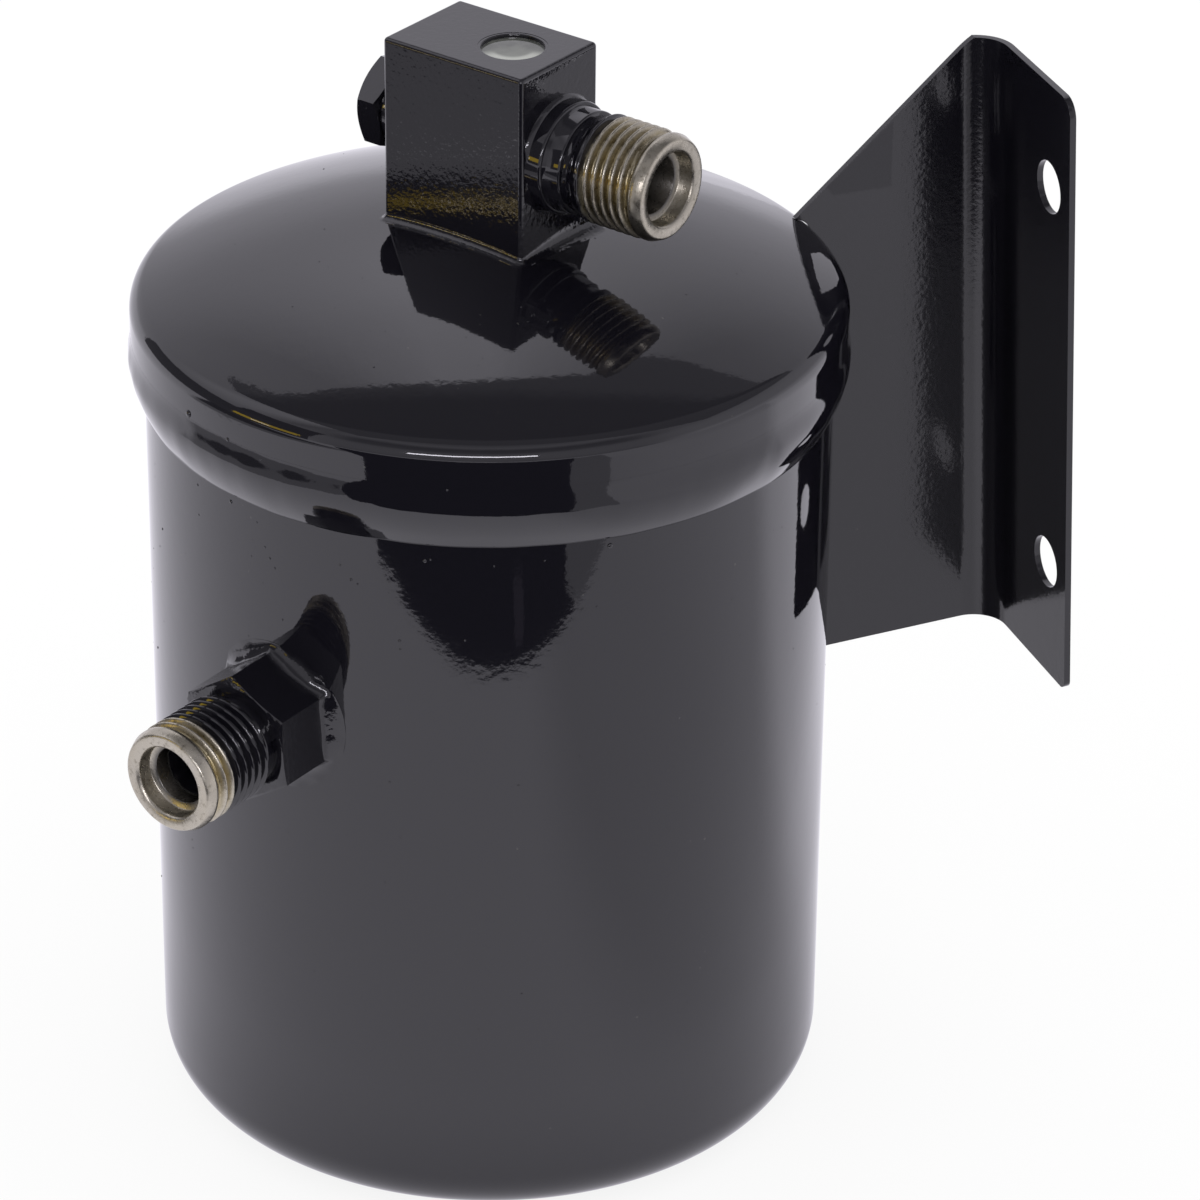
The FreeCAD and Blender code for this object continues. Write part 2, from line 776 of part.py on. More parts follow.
PIECES = {
    "can": make_can,
    "lid": make_lid,
    "lid_seam_weld": make_seam_weld,
    "top_block": make_top_block,
    "block_weld": make_block_weld,
    "sight_glass": make_sight_glass,
    "sight_glass_shell": make_sight_glass_shell,
    "sight_glass_seal": make_sight_glass_seal,
    "outlet_fitting": make_outlet_fitting,
    "outlet_braze": make_outlet_braze,
    "block_plug": make_block_plug,
    "plug_seal": make_plug_seal,
    "inlet_fitting": make_inlet_fitting,
    "inlet_weld": make_inlet_weld,
    "mounting_bracket": make_mounting_bracket,
    "bracket_weld": make_bracket_weld,
    "pickup_tube": make_pickup_tube,
    "strainer": make_strainer,
    "lower_plate": make_lower_plate,
    "lower_filter_pad": lambda: tube(plate_radius, core_radius, lower_pad_bottom, bed_bottom),
    "desiccant_bed": lambda: tube(plate_radius, core_radius, bed_bottom, bed_top),
    "upper_filter_pad": lambda: tube(plate_radius, core_radius, bed_top, upper_plate_bottom),
    "upper_plate": make_upper_plate,
    "tube_grommet": make_tube_grommet,
    "bed_spring": make_bed_spring,
}


def main():
    """Write every piece as its own file."""
    os.makedirs("parts", exist_ok=True)
    for name, make in PIECES.items():
        make().exportStep("parts/" + name + ".step")


main()
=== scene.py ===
"""Looks of a receiver drier: gloss black paint, bare steel threads and a sight glass."""

import math
import random

import bmesh
import bpy
from bpy.props import FloatProperty, FloatVectorProperty, IntProperty, PointerProperty
from mathutils import Matrix, Vector, noise


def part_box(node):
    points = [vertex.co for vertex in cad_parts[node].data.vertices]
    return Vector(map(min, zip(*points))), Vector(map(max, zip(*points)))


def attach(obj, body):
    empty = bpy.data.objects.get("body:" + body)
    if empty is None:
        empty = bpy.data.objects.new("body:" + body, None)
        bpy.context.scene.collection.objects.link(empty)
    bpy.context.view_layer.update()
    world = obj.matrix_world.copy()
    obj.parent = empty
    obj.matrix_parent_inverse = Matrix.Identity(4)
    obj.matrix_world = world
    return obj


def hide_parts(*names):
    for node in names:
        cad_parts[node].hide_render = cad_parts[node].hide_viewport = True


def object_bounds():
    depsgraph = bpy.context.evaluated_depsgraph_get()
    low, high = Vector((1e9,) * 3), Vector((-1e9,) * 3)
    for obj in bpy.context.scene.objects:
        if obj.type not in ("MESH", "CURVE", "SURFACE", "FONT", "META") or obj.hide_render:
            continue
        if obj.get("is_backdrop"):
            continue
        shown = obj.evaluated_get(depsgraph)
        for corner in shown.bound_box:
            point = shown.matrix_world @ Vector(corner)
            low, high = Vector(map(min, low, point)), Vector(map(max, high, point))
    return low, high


bl_info = {
    "name": "Receiver drier",
    "version": (1, 0, 0),
    "blender": (4, 5, 0),
    "location": "3D View > Sidebar > Drier",
    "description": "Dresses a receiver drier with paint, threads, welds and a studio",
    "category": "Object",
}

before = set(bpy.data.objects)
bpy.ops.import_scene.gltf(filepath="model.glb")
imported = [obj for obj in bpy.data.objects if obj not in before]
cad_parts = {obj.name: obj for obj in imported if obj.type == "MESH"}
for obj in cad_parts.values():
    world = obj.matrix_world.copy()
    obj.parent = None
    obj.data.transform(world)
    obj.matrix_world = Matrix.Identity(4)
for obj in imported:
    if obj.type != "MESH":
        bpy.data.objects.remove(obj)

MM = 0.001
BODY = "root"

# Points nearer than this are one, in metres: in a turned shape, in a solid's mesh
SAME_POINT = 1e-7
SAME_SOLID_POINT = 2e-6
NO_LENGTH = 1e-8
# Faces that turn less than this are one, in degrees
FLAT_WITHIN = 0.4

# The ports, as in the solids: angles about +Z from +X, and the block's face under the outlet
OUTLET_ANGLE = -57.65
OUTLET_FACE = 12.6
INLET_ANGLE = -146.8

# What both fittings share, in millimetres
FITTING_STEPS = 128
THREAD_STOP = 2.4
RELIEF_RADIUS = 7.65
NOSE_RADIUS = 7.9
TIP_RADIUS = 7.5
PILOT_RADIUS = 5.4
PILOT_DEPTH = 2.7
FLOW_RADIUS = 4.25


def span(node, axis):
    """Lowest and highest coordinate of a solid along an axis, in millimetres."""
    low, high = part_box(node)
    return low[axis] / MM, high[axis] / MM


BLOCK_TOP = span("top_block", 2)[1]
CAN_RADIUS = (span("can", 0)[1] - span("can", 0)[0]) / 2
CAN_TOP = span("can", 2)[1]
SKIRT_RADIUS = (span("lid", 0)[1] - span("lid", 0)[0]) / 2
SKIRT_BOTTOM = span("lid", 2)[0]
SEAM_BOTTOM = span("lid_seam_weld", 2)[0]
OUTLET_HEIGHT = sum(span("outlet_fitting", 2)) / 2
INLET_HEIGHT = sum(span("inlet_fitting", 2)) / 2

# Dried drops in the paint: angle about +Z, height and radius
NIBS = (
    (-163.8, 125.9, 0.55), (-154.1, 125.3, 0.3), (-156.1, 114.0, 0.3), (-165.1, 113.4, 0.2),
    (-165.0, 108.6, 0.16), (-148.6, 109.1, 0.16), (-147.6, 107.6, 0.2), (-146.6, 106.3, 0.16),
    (-150.2, 112.6, 0.14), (-132.3, 107.9, 0.22), (-131.2, 107.4, 0.16), (-120.0, 112.6, 0.3),
    (-119.1, 112.9, 0.18), (-124.2, 99.3, 0.22), (-134.2, 109.9, 0.16), (-90.3, 113.9, 0.42),
    (-91.2, 115.4, 0.3), (-116.1, 125.1, 0.18), (-147.2, 124.3, 0.2), (-143.6, 123.6, 0.22),
    (-109.0, 112.2, 0.14), (-101.0, 112.8, 0.14),
)

# Dust in the paint, soot on the steel, and painted shade in the bore and over shaded steel
DUST = (0.6, 0.58, 0.52)
SOOT = (0.13, 0.115, 0.08)
BORE_SHADE = (0.13, 0.125, 0.115)
PAINTED_SHADE = (0.05, 0.045, 0.035)
PAINT_IOR = 1.6

# The photograph's camera: place in metres, angles in degrees, lens in millimetres, and the
# shift and the focal length in pixels
VIEW_HEADING = -19.63
TOWARD_CAMERA = (-0.336, -0.942)
CAMERA_PLACE = (-0.2446, -0.6858, 0.48303)
LOOK_DOWN = 29.05
LENS = 165.66
SHIFT_PIXELS = 109.78
FOCAL_PIXELS = 5521.94

# The studio as the camera sees it, X to the right and Y straight away: floor and room in
# metres, cards in millimetres
FLOOR_SIZE = 6
ROOM_RADIUS = 2.5
MIRROR_TINT = (1.0, 0.975, 1.07)
CEILING_AT = 1200
CEILING = (
    (-650, 825), (-519, 621), (-418, 555), (-281, 525), (-139, 494), (-36, 485), (121, 518),
    (227, 556), (284, 640), (377, 729), (463, 760), (552, 767), (608, 798), (1500, 900),
    (1500, -380), (-600, -380), (-600, 300),
)
TABLE_EDGE = (
    (-140, -211), (-115, -216), (100, -214), (140, -250), (600, -1100), (-1200, -1100),
    (-172, -238),
)
TABLE_SIDE = ((92, -226), (104, -212), (150, -212), (700, -1100), (500, -1100))
TABLE_LEG = ((29, -246), (41, -246), (38, -222), (29, -222))
# Two papers: right of the block, away and up, and in front of the bracket's web, along it and up
SIDE_PAPER_AT = 20
SIDE_PAPER = ((-9, 162.5), (0.8, 168), (0.8, 157.8), (-2.7, 159.3), (-6.9, 159.8))
WEB_PAPER_AT = 1.9
WEB_PAPER = ((55.5, 136), (66, 145.3), (66, 134.5), (56.5, 134.5))
# A lamp far behind the camera, to the right and up
LONG_LAMP_AT = -1480
LONG_LAMP = ((-700, 560), (380, 560), (380, 675), (-700, 675))
# The room's brightness high up by compass direction, and on the camera's side by height
ROOM_HIGH = (
    (-180, 0.6), (-128, 0.7), (-108, 0.5), (-98, 0.85), (-86, 1.12), (-64, 1.12), (-46, 0.8),
    (-31, 0.76), (-22, 1.08), (-11, 1.36), (0, 1.36), (9, 1.1), (18, 0.9), (30, 0.58), (90, 0.6),
    (180, 0.6),
)
ROOM_FRONT = (
    (-90, 0.05), (-8, 0.05), (-4, 0.4), (8, 0.6), (22, 0.62), (30, 0.58), (37, 0.31), (48, 0.26),
    (58, 0.63), (66, 0.5), (76, 0.29), (90, 0.25),
)


# Sizes and colours that a user would change

class DrierPaint(bpy.types.PropertyGroup):
    """The black paint."""

    colour: FloatVectorProperty(
        name="Colour", description="Colour of the paint under its gloss",
        subtype="COLOR", size=3, min=0, max=1, default=(0.0054, 0.0050, 0.0078))
    roughness: FloatProperty(
        name="Roughness", description="Blur of the reflections", min=0, max=1, default=0.04)
    peel_depth: FloatProperty(
        name="Peel depth", description="Height of the coat's orange peel, in millimetres",
        min=0, max=0.2, default=0.010)
    grain_depth: FloatProperty(
        name="Grain depth", description="Height of the coat's fine grain, in millimetres",
        min=0, max=0.1, default=0.004)
    wave_depth: FloatProperty(
        name="Wave depth", description="Height of the coat's broad waves, in millimetres",
        min=0, max=0.5, default=0.03)


class DrierThread(bpy.types.PropertyGroup):
    """The two port threads."""

    pitch: FloatProperty(
        name="Pitch", description="Rise of one turn, in millimetres",
        min=0.5, max=3, default=1.5)
    crest_radius: FloatProperty(
        name="Crest radius", description="Radius over the crests, in millimetres",
        min=5, max=12, default=8.0)
    depth: FloatProperty(
        name="Depth", description="Depth of the groove, in millimetres",
        min=0.2, max=2, default=0.92)
    steel: FloatVectorProperty(
        name="Steel", description="Colour of the bare steel",
        subtype="COLOR", size=3, min=0, max=1, default=(0.46, 0.44, 0.39))
    stain: FloatVectorProperty(
        name="Stain", description="Colour of the oily film in the grooves",
        subtype="COLOR", size=3, min=0, max=1, default=(0.37, 0.30, 0.14))


class DrierVessel(bpy.types.PropertyGroup):
    """The can and its lid."""

    steps: IntProperty(
        name="Steps", description="Steps round a turned shape", min=32, max=512, default=256)
    corner_radius: FloatProperty(
        name="Corner radius", description="Radius of the can's bottom corner, in millimetres",
        min=1, max=20, default=8.7)
    wall: FloatProperty(
        name="Wall", description="Thickness of the can's wall, in millimetres",
        min=0.5, max=5, default=2.0)
    lid_wall: FloatProperty(
        name="Lid wall", description="Thickness of the lid, in millimetres",
        min=0.5, max=5, default=1.8)
    crown_radius: FloatProperty(
        name="Crown radius", description="Radius of the lid's crown, in millimetres",
        min=60, max=300, default=128.0)
    crown_height: FloatProperty(
        name="Crown height", description="Height of the crown's middle, in millimetres",
        min=100, max=200, default=142.5)
    knuckle_radius: FloatProperty(
        name="Knuckle radius", description="Radius of the lid's shoulder, in millimetres",
        min=1, max=10, default=3.5)
    seam_wave: FloatProperty(
        name="Seam wave", description="Wander of the seam weld's toe, in millimetres",
        min=0, max=1, default=0.3)
    bead_lap: FloatProperty(
        name="Bead lap", description="How far the weld laps up the skirt, in millimetres",
        min=0, max=6, default=3.0)
    bead_swell: FloatProperty(
        name="Bead swell", description="How far the weld stands out, in millimetres",
        min=0, max=1, default=0.36)
    toe_step: FloatProperty(
        name="Toe step", description="Thickness of the weld's toe, in millimetres",
        min=0, max=1, default=0.16)


# Numbers

def clamp(number):
    """A number held between 0 and 1."""
    return min(1.0, max(0.0, number))


def ease(share):
    """A share from 0 to 1 that starts and ends gently."""
    return share * share * (3 - 2 * share)


# Mesh helpers

def point_on(centre, radius, degrees):
    """Point of a circle in a half section, as (radius, height)."""
    turn = math.radians(degrees)
    return (centre[0] + radius * math.cos(turn), centre[1] + radius * math.sin(turn))


def arc(centre, radius, start, end, steps):
    """Points of an arc in a half section, with both ends."""
    return [point_on(centre, radius, start + (end - start) * i / steps) for i in range(steps + 1)]


def ladder(start, end, step):
    """Evenly spaced numbers from start to end with both ends."""
    count = max(1, round(abs(end - start) / step))
    return [start + (end - start) * i / count for i in range(count + 1)]


def lathe(section, steps):
    """A half section of (radius, height) points in millimetres, spun about Z."""
    bm = bmesh.new()
    verts = [bm.verts.new((r * MM, 0, z * MM)) for r, z in section]
    pairs = list(zip(verts, verts[1:]))
    if section[0][0] > 0:
        pairs.append((verts[-1], verts[0]))
    edges = [bm.edges.new(pair) for pair in pairs]
    bmesh.ops.spin(bm, geom=verts + edges, cent=(0, 0, 0), axis=(0, 0, 1), angle=2 * math.pi,
                   steps=steps, use_merge=True)
    bmesh.ops.remove_doubles(bm, verts=bm.verts, dist=SAME_POINT)
    bmesh.ops.dissolve_degenerate(bm, edges=bm.edges, dist=NO_LENGTH)
    return bm


def aim(bm, angle, height):
    """Lay a shape that was turned about Z along a level direction at a height."""
    turn = Matrix.Rotation(math.radians(angle), 4, "Z") @ Matrix.Rotation(math.radians(90), 4, "Y")
    bmesh.ops.transform(bm, matrix=Matrix.Translation((0, 0, height * MM)) @ turn, verts=bm.verts)


def add_piece(name, bm, finish, nodes=(), sharp=35):
    """Turn a finished shape into a shown piece that rides on the drier."""
    bmesh.ops.recalc_face_normals(bm, faces=bm.faces)
    mesh = bpy.data.meshes.new(name)
    bm.to_mesh(mesh)
    bm.free()
    mesh.materials.append(finish)
    mesh.shade_smooth()
    mesh.set_sharp_from_angle(angle=math.radians(sharp))
    obj = bpy.data.objects.new(name, mesh)
    bpy.context.scene.collection.objects.link(obj)
    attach(obj, BODY)
    if nodes:
        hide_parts(*nodes)
    return obj


def even_shading(obj):
    """Shade rounded edges from the broad faces between them."""
    obj.modifiers.new("even_normals", "WEIGHTED_NORMAL").keep_sharp = True


def merged_copy(node):
    """A solid's mesh with its loose triangles joined and its flat faces made whole."""
    bm = bmesh.new()
    bm.from_mesh(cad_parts[node].data)
    bmesh.ops.remove_doubles(bm, verts=bm.verts, dist=SAME_SOLID_POINT)
    bmesh.ops.dissolve_limit(bm, angle_limit=math.radians(FLAT_WITHIN),
                             use_dissolve_boundaries=False, verts=bm.verts, edges=bm.edges)
    return bm


def soften(bm, width, sharp=30):
    """Round every edge that is sharper than an angle."""
    limit = math.radians(sharp)
    edges = [e for e in bm.edges if e.is_manifold and e.calc_face_angle(0) > limit]
    bmesh.ops.bevel(bm, geom=edges, offset=width * MM, offset_type="OFFSET", affect="EDGES",
                    segments=2, profile=0.5, material=-1, clamp_overlap=True)


def soft_piece(name, node, finish, width, sharp=30):
    """Show a solid with rounded edges and even shading."""
    bm = merged_copy(node)
    soften(bm, width, sharp)
    even_shading(add_piece(name, bm, finish, [node], sharp=40))


# Shader helpers

class Value:
    """A shader socket on which Python's operators add Math nodes."""

    def __init__(self, shader, socket):
        self.shader = shader
        self.socket = socket

    def _math(self, operation, *values):
        inputs = dict(enumerate(values))
        return self.shader.node("ShaderNodeMath", {"operation": operation}, inputs)

    def __add__(self, other):
        return self._math("ADD", self, other)

    def __sub__(self, other):
        return self._math("SUBTRACT", self, other)

    def __rsub__(self, other):
        return self._math("SUBTRACT", other, self)

    def __mul__(self, other):
        return self._math("MULTIPLY", self, other)

    def __truediv__(self, other):
        return self._math("DIVIDE", self, other)

    def __pow__(self, other):
        return self._math("POWER", self, other)

    __radd__ = __add__

    def split(self):
        """The three parts of a position."""
        return [self.shader.node("ShaderNodeSeparateXYZ", {}, {0: self}, output=i)
                for i in range(3)]

    def ramp(self, low, high):
        """Zero below low, one above high, and smooth between."""
        return self.shader.node("ShaderNodeMapRange", {"interpolation_type": "SMOOTHSTEP"},
                                {"Value": self, "From Min": low, "From Max": high})


class Shader:
    """A new material with one Principled shader, and ways to feed it."""

    def __init__(self, name, colour, roughness, **sockets):
        self.material = bpy.data.materials.new(name)
        self.material.use_nodes = True
        self.tree = self.material.node_tree
        self.surface = self.tree.nodes["Principled BSDF"]
        self.place = self.node("ShaderNodeTexCoord", output="Object")
        self.feed("Base Color", colour)
        self.feed("Roughness", roughness)
        for socket, value in sockets.items():
            self.feed(socket.replace("_", " "), value)

    def node(self, kind, settings=None, inputs=None, output=0):
        """Add a node with its settings first, then the values or links of its sockets."""
        made = self.tree.nodes.new(kind)
        for key, value in (settings or {}).items():
            setattr(made, key, value)
        for key, value in (inputs or {}).items():
            self.connect(made.inputs[key], value)
        return Value(self, made.outputs[output])

    def connect(self, socket, value):
        """Link a socket or set it."""
        if isinstance(value, Value):
            self.tree.links.new(value.socket, socket)
        elif socket.type == "RGBA" and len(value) == 3:
            socket.default_value = (*value, 1)
        else:
            socket.default_value = value

    def show(self, surface):
        """Make another shader the one that is seen."""
        self.connect(self.tree.nodes["Material Output"].inputs["Surface"], surface)

    def feed(self, socket, value):
        """Give the Principled shader's socket a value or a link."""
        self.connect(self.surface.inputs[socket], value)

    def noise(self, size, detail=2.0, rough=0.5, seed=0.0):
        """Noise from 0 to 1 whose spots are about a size across, in millimetres."""
        return self.node("ShaderNodeTexNoise", {"noise_dimensions": "4D"}, {
            "Vector": self.place, "W": seed, "Scale": 1 / (size * MM),
            "Detail": detail, "Roughness": rough})

    def attribute(self, name):
        """A number stored on the piece's points."""
        return self.node("ShaderNodeAttribute", {"attribute_name": name}, output="Fac")

    def mix(self, factor, low, high, kind="MIX"):
        """Blend two colours."""
        settings = {"data_type": "RGBA", "blend_type": kind}
        return self.node("ShaderNodeMix", settings, {0: factor, 6: low, 7: high}, output=2)

    def blend(self, factor, low, high):
        """Blend two numbers."""
        return low + (high - low) * factor

    def curve(self, value, points):
        """A number that follows points of (place, number), both from 0 to 1 or a little more."""
        followed = self.node("ShaderNodeValToRGB", {}, {"Fac": value}, output="Color")
        stops = followed.socket.node.color_ramp.elements
        while len(stops) < len(points):
            stops.new(0.5)
        for stop, (place, number) in zip(stops, points):
            stop.position = place
            stop.color = (number, number, number, 1)
        return followed

    def bump(self, height, depth, under=None):
        """Feed a height from 0 to 1 to the surface's normal, with its depth in millimetres."""
        inputs = {"Height": height, "Strength": 1.0, "Distance": depth * MM}
        if under:
            inputs["Normal"] = under
        return self.node("ShaderNodeBump", {}, inputs)


def gloss_black(name="gloss_black", peel=1.0, grain=1.0, blur=0.0):
    """Thick black paint with orange peel, fine grain and a few dust specks."""
    paint = bpy.context.scene.drier_paint
    shader = Shader(name, paint.colour, paint.roughness, IOR=PAINT_IOR)
    relief = shader.bump(shader.noise(14.0, 1.0), paint.wave_depth * peel)
    relief = shader.bump(shader.noise(2.2, seed=3.0), paint.peel_depth * peel, relief)
    relief = shader.bump(shader.noise(0.7, seed=11.0), paint.grain_depth * grain, relief)
    shader.feed("Normal", relief)
    dust = shader.noise(0.9, 1.0, seed=7.0).ramp(0.78, 0.83) * 0.06
    shader.feed("Base Color", shader.mix(dust, paint.colour, DUST))
    spread = 0.03
    smears = shader.noise(30.0, 3.0, seed=5.0) * spread
    shader.feed("Roughness", smears + (paint.roughness + blur - spread / 2))
    return shader.material


def part_painted_steel(name, bare_from, bare_to, shade=1.0):
    """Bare turned steel with its inner end under the paint, by distance along the fitting."""
    paint = bpy.context.scene.drier_paint
    thread = bpy.context.scene.drier_thread
    shader = Shader(name, thread.steel, 0.3, IOR=PAINT_IOR)
    along = shader.attribute("along")
    crest = shader.attribute("crest")
    inside = shader.attribute("inside")
    ragged = shader.noise(1.6, 3.0, seed=2.0) - 0.5
    bare = (along + ragged * 0.8).ramp(bare_from, bare_to)
    film = shader.noise(5.0, 3.0, seed=4.0).ramp(0.3, 0.7)
    stained_and_shaded = shader.mix((1 - crest * 0.75) * (0.55 + film * 0.45), thread.steel, thread.stain)
    soot = shader.noise(0.8, 4.0, 0.6, seed=6.0).ramp(0.52, 0.72)
    stained_and_shaded = shader.mix(soot * 0.6, stained_and_shaded, SOOT)
    # Painted shade: the flow bore is darkened towards grey
    stained_and_shaded = shader.mix(inside, stained_and_shaded, BORE_SHADE)
    # Painted shade: for a shade below one, the whole steel darkens
    stained_and_shaded = shader.mix(1 - shade, stained_and_shaded, PAINTED_SHADE)
    shader.feed("Base Color", shader.mix(bare, paint.colour, stained_and_shaded))
    shader.feed("Metallic", bare)
    scratch = shader.noise(0.5, 4.0, 0.6, seed=8.0)
    shader.feed("Roughness", bare * (scratch * 0.3 + 0.1) + 0.05)
    peel = shader.bump(shader.noise(2.0, seed=3.0), 0.006)
    shader.feed("Normal", shader.bump(scratch * bare, 0.03, peel))
    return shader.material


def rubber():
    """Dull black rubber."""
    shader = Shader("seal_black", (0.02, 0.02, 0.02), 0.6)
    shader.feed("Normal", shader.bump(shader.noise(0.6, 3.0), 0.02))
    return shader.material


# Turned fittings

def thread_radius(along, turn, thread):
    """Radius of the thread's surface at a distance along it and an angle round it."""
    crest_share, flank_share, roundness = 0.12, 0.66, 0.4
    phase = (along / thread.pitch - turn / (2 * math.pi)) % 1.0
    from_crest = abs(phase - 0.5) * 2
    flank = clamp((from_crest - crest_share) / flank_share)
    flank = ease(flank) * roundness + flank * (1 - roundness)
    return thread.crest_radius - thread.depth * flank


def add_thread(bm, start, end, thread):
    """Cut the thread into a barrel that is still upright, fading out at both ends."""
    fade, nose_fade = 0.9, 1.4
    skin, margin, bore = 0.001, 0.01, 4.4
    crest = bm.verts.layers.float.new("crest")
    along = bm.verts.layers.float.new("along")
    inside = bm.verts.layers.float.new("inside")
    root = thread.crest_radius - thread.depth
    for vert in bm.verts:
        station = vert.co.z / MM
        radius = math.hypot(vert.co.x, vert.co.y) / MM
        threaded = start <= station <= end
        if threaded and radius > root - margin:
            turn = math.atan2(vert.co.y, vert.co.x)
            lead = max(0.0, min(station - start, (end - station) * nose_fade))
            cut = thread_radius(station, turn, thread)
            wanted = min(cut, root + lead * fade, radius + skin)
            vert.co.x *= wanted / radius
            vert.co.y *= wanted / radius
            radius = wanted
        within = threaded and radius > root - margin
        vert[crest] = clamp((radius - root) / thread.depth) if within else 1.0
        vert[along] = station
        # Marks the flow bore, which the steel's material darkens with painted shade
        vert[inside] = 1.0 if radius < bore else 0.0


def barrel(start, end, radius):
    """Closely spaced rings along a thread, as half-section points."""
    return [(radius, s) for s in ladder(start, end, 0.1)]


def nose(end, reach, inner):
    """Half section from the thread's end over the nose and back in along the bores."""
    edge, break_edge = 0.45, 0.15
    seat = reach - PILOT_DEPTH
    points = [(RELIEF_RADIUS, end + 0.25), (NOSE_RADIUS, end + 0.6), (NOSE_RADIUS, reach - 1.3)]
    points += arc((TIP_RADIUS - edge, reach - edge), edge, 25, 90, 4)
    points += [(PILOT_RADIUS + edge, reach), (PILOT_RADIUS + 0.1, reach - 0.3)]
    points += [(PILOT_RADIUS, reach - 0.5), (PILOT_RADIUS, seat + break_edge)]
    points += [(PILOT_RADIUS - break_edge, seat), (FLOW_RADIUS + break_edge, seat)]
    return points + [(FLOW_RADIUS, seat - break_edge), (FLOW_RADIUS, inner)]


def add_fitting(name, node, section, threaded, laid, steel):
    """Turn a fitting, cut its thread between two stations and lay it at an angle and a height."""
    bm = lathe(section, FITTING_STEPS)
    add_thread(bm, *threaded, bpy.context.scene.drier_thread)
    aim(bm, *laid)
    add_piece(name, bm, steel, [node], sharp=50)


# Operators

class DrierPiece(bpy.types.Operator):
    """What every operator shares."""

    bl_options = {"REGISTER", "UNDO"}

    def execute(self, context):
        self.build(context.scene)
        return {"FINISHED"}


class OBJECT_OT_drier_vessel(DrierPiece):
    """Turn the can, the lid and the seam weld"""

    bl_idname = "object.drier_vessel"
    bl_label = "Can, lid and seam weld"

    lid_hole = 6.2
    bead_depth = 0.3
    bead_skin = 0.012
    streak_height = 0.04

    def build(self, scene):
        vessel = scene.drier_vessel
        paint = gloss_black()
        self.add_can(vessel, paint)
        self.add_lid(vessel, paint)
        self.add_seam(vessel, paint)

    def add_can(self, vessel, paint):
        """The deep can with its rounded bottom corner."""
        corner = vessel.corner_radius
        bore = CAN_RADIUS - vessel.wall
        centre = (CAN_RADIUS - corner, corner)
        section = [(0, 0)] + arc(centre, corner, -90, 0, 24)
        section += [(CAN_RADIUS, z) for z in ladder(corner, CAN_TOP, 6.0)[1:]]
        section += [(bore, CAN_TOP)]
        section += arc(centre, corner - vessel.wall, 0, -90, 16) + [(0, vessel.wall)]
        bm = lathe(section, vessel.steps)
        add_piece("can_shell", bm, paint, ["can"])

    def add_lid(self, vessel, paint):
        """The cap: skirt, tight shoulder and a shallow crown with the boss's hole."""
        crown = (0, vessel.crown_height - vessel.crown_radius)
        knuckle_middle = SKIRT_RADIUS - vessel.knuckle_radius
        reach = vessel.crown_radius - vessel.knuckle_radius
        knuckle = (knuckle_middle, crown[1] + math.sqrt(reach ** 2 - knuckle_middle ** 2))
        meet = math.degrees(math.atan2(knuckle[1] - crown[1], knuckle_middle))
        rim = math.degrees(math.acos(self.lid_hole / vessel.crown_radius))
        wall = vessel.lid_wall
        section = [(SKIRT_RADIUS - wall, SKIRT_BOTTOM), (SKIRT_RADIUS, SKIRT_BOTTOM)]
        section += arc(knuckle, vessel.knuckle_radius, 0, meet, 20)
        section += arc(crown, vessel.crown_radius, meet, rim, 48)[1:]
        section += arc(crown, vessel.crown_radius - wall, rim, meet, 24)
        section += arc(knuckle, vessel.knuckle_radius - wall, meet, 0, 10)[1:]
        bm = lathe(section, vessel.steps)
        add_piece("lid_cap", bm, paint, ["lid"])

    def add_seam(self, vessel, paint):
        """The weld bead, which laps up over the skirt, with its uneven face and thin toe."""
        heights = ladder(SEAM_BOTTOM - 0.35, SKIRT_BOTTOM + vessel.bead_lap, 0.25)
        root = CAN_RADIUS - self.bead_depth
        section = [(root, heights[0])] + [(CAN_RADIUS, z) for z in heights]
        section += [(SKIRT_RADIUS - 1.0, heights[-1] - 0.5), (root, heights[-1] - 1.5)]
        bm = lathe(section, vessel.steps)
        for vert in bm.verts:
            height = vert.co.z / MM
            radius = math.hypot(vert.co.x, vert.co.y) / MM
            if abs(radius - CAN_RADIUS) < 0.01:
                turn = math.atan2(vert.co.y, vert.co.x)
                radius = self.bead_radius(vessel, turn, height)
                vert.co.x = math.cos(turn) * radius * MM
                vert.co.y = math.sin(turn) * radius * MM
        add_piece("lid_seam_bead", bm, paint, ["lid_seam_weld"], sharp=60)

    def bead_radius(self, vessel, turn, height):
        """Outer radius of the painted seam at an angle and a height."""
        round_it = Vector((math.cos(turn) * 9, math.sin(turn) * 9, 0))
        wander = noise.noise(round_it * 0.9) * vessel.seam_wave
        streak = noise.noise(round_it * 3.1 + Vector((0, 0, height * 0.25 + turn * 2)))
        swell = vessel.bead_swell * (1 + 0.35 * noise.noise(round_it * 1.7 + Vector((5, 0, 0))))
        top = SKIRT_BOTTOM + vessel.bead_lap
        crest = SKIRT_BOTTOM - 0.6 + wander
        skirt = SKIRT_RADIUS + self.bead_skin
        if height > crest:
            rise = ease(min(1.0, (top - height) / (top - crest)))
            return skirt + swell * rise + streak * self.streak_height * rise
        toe = CAN_RADIUS + vessel.toe_step
        share = (crest - height) / (crest - SEAM_BOTTOM - wander * 0.5)
        if share < 1:
            fall = (SKIRT_RADIUS + swell - toe) * share ** 1.7
            return skirt + swell - fall + streak * self.streak_height * (1 - share)
        below = (share - 1) * (crest - SEAM_BOTTOM)
        return CAN_RADIUS + max(-0.2, vessel.toe_step - below * 1.2)


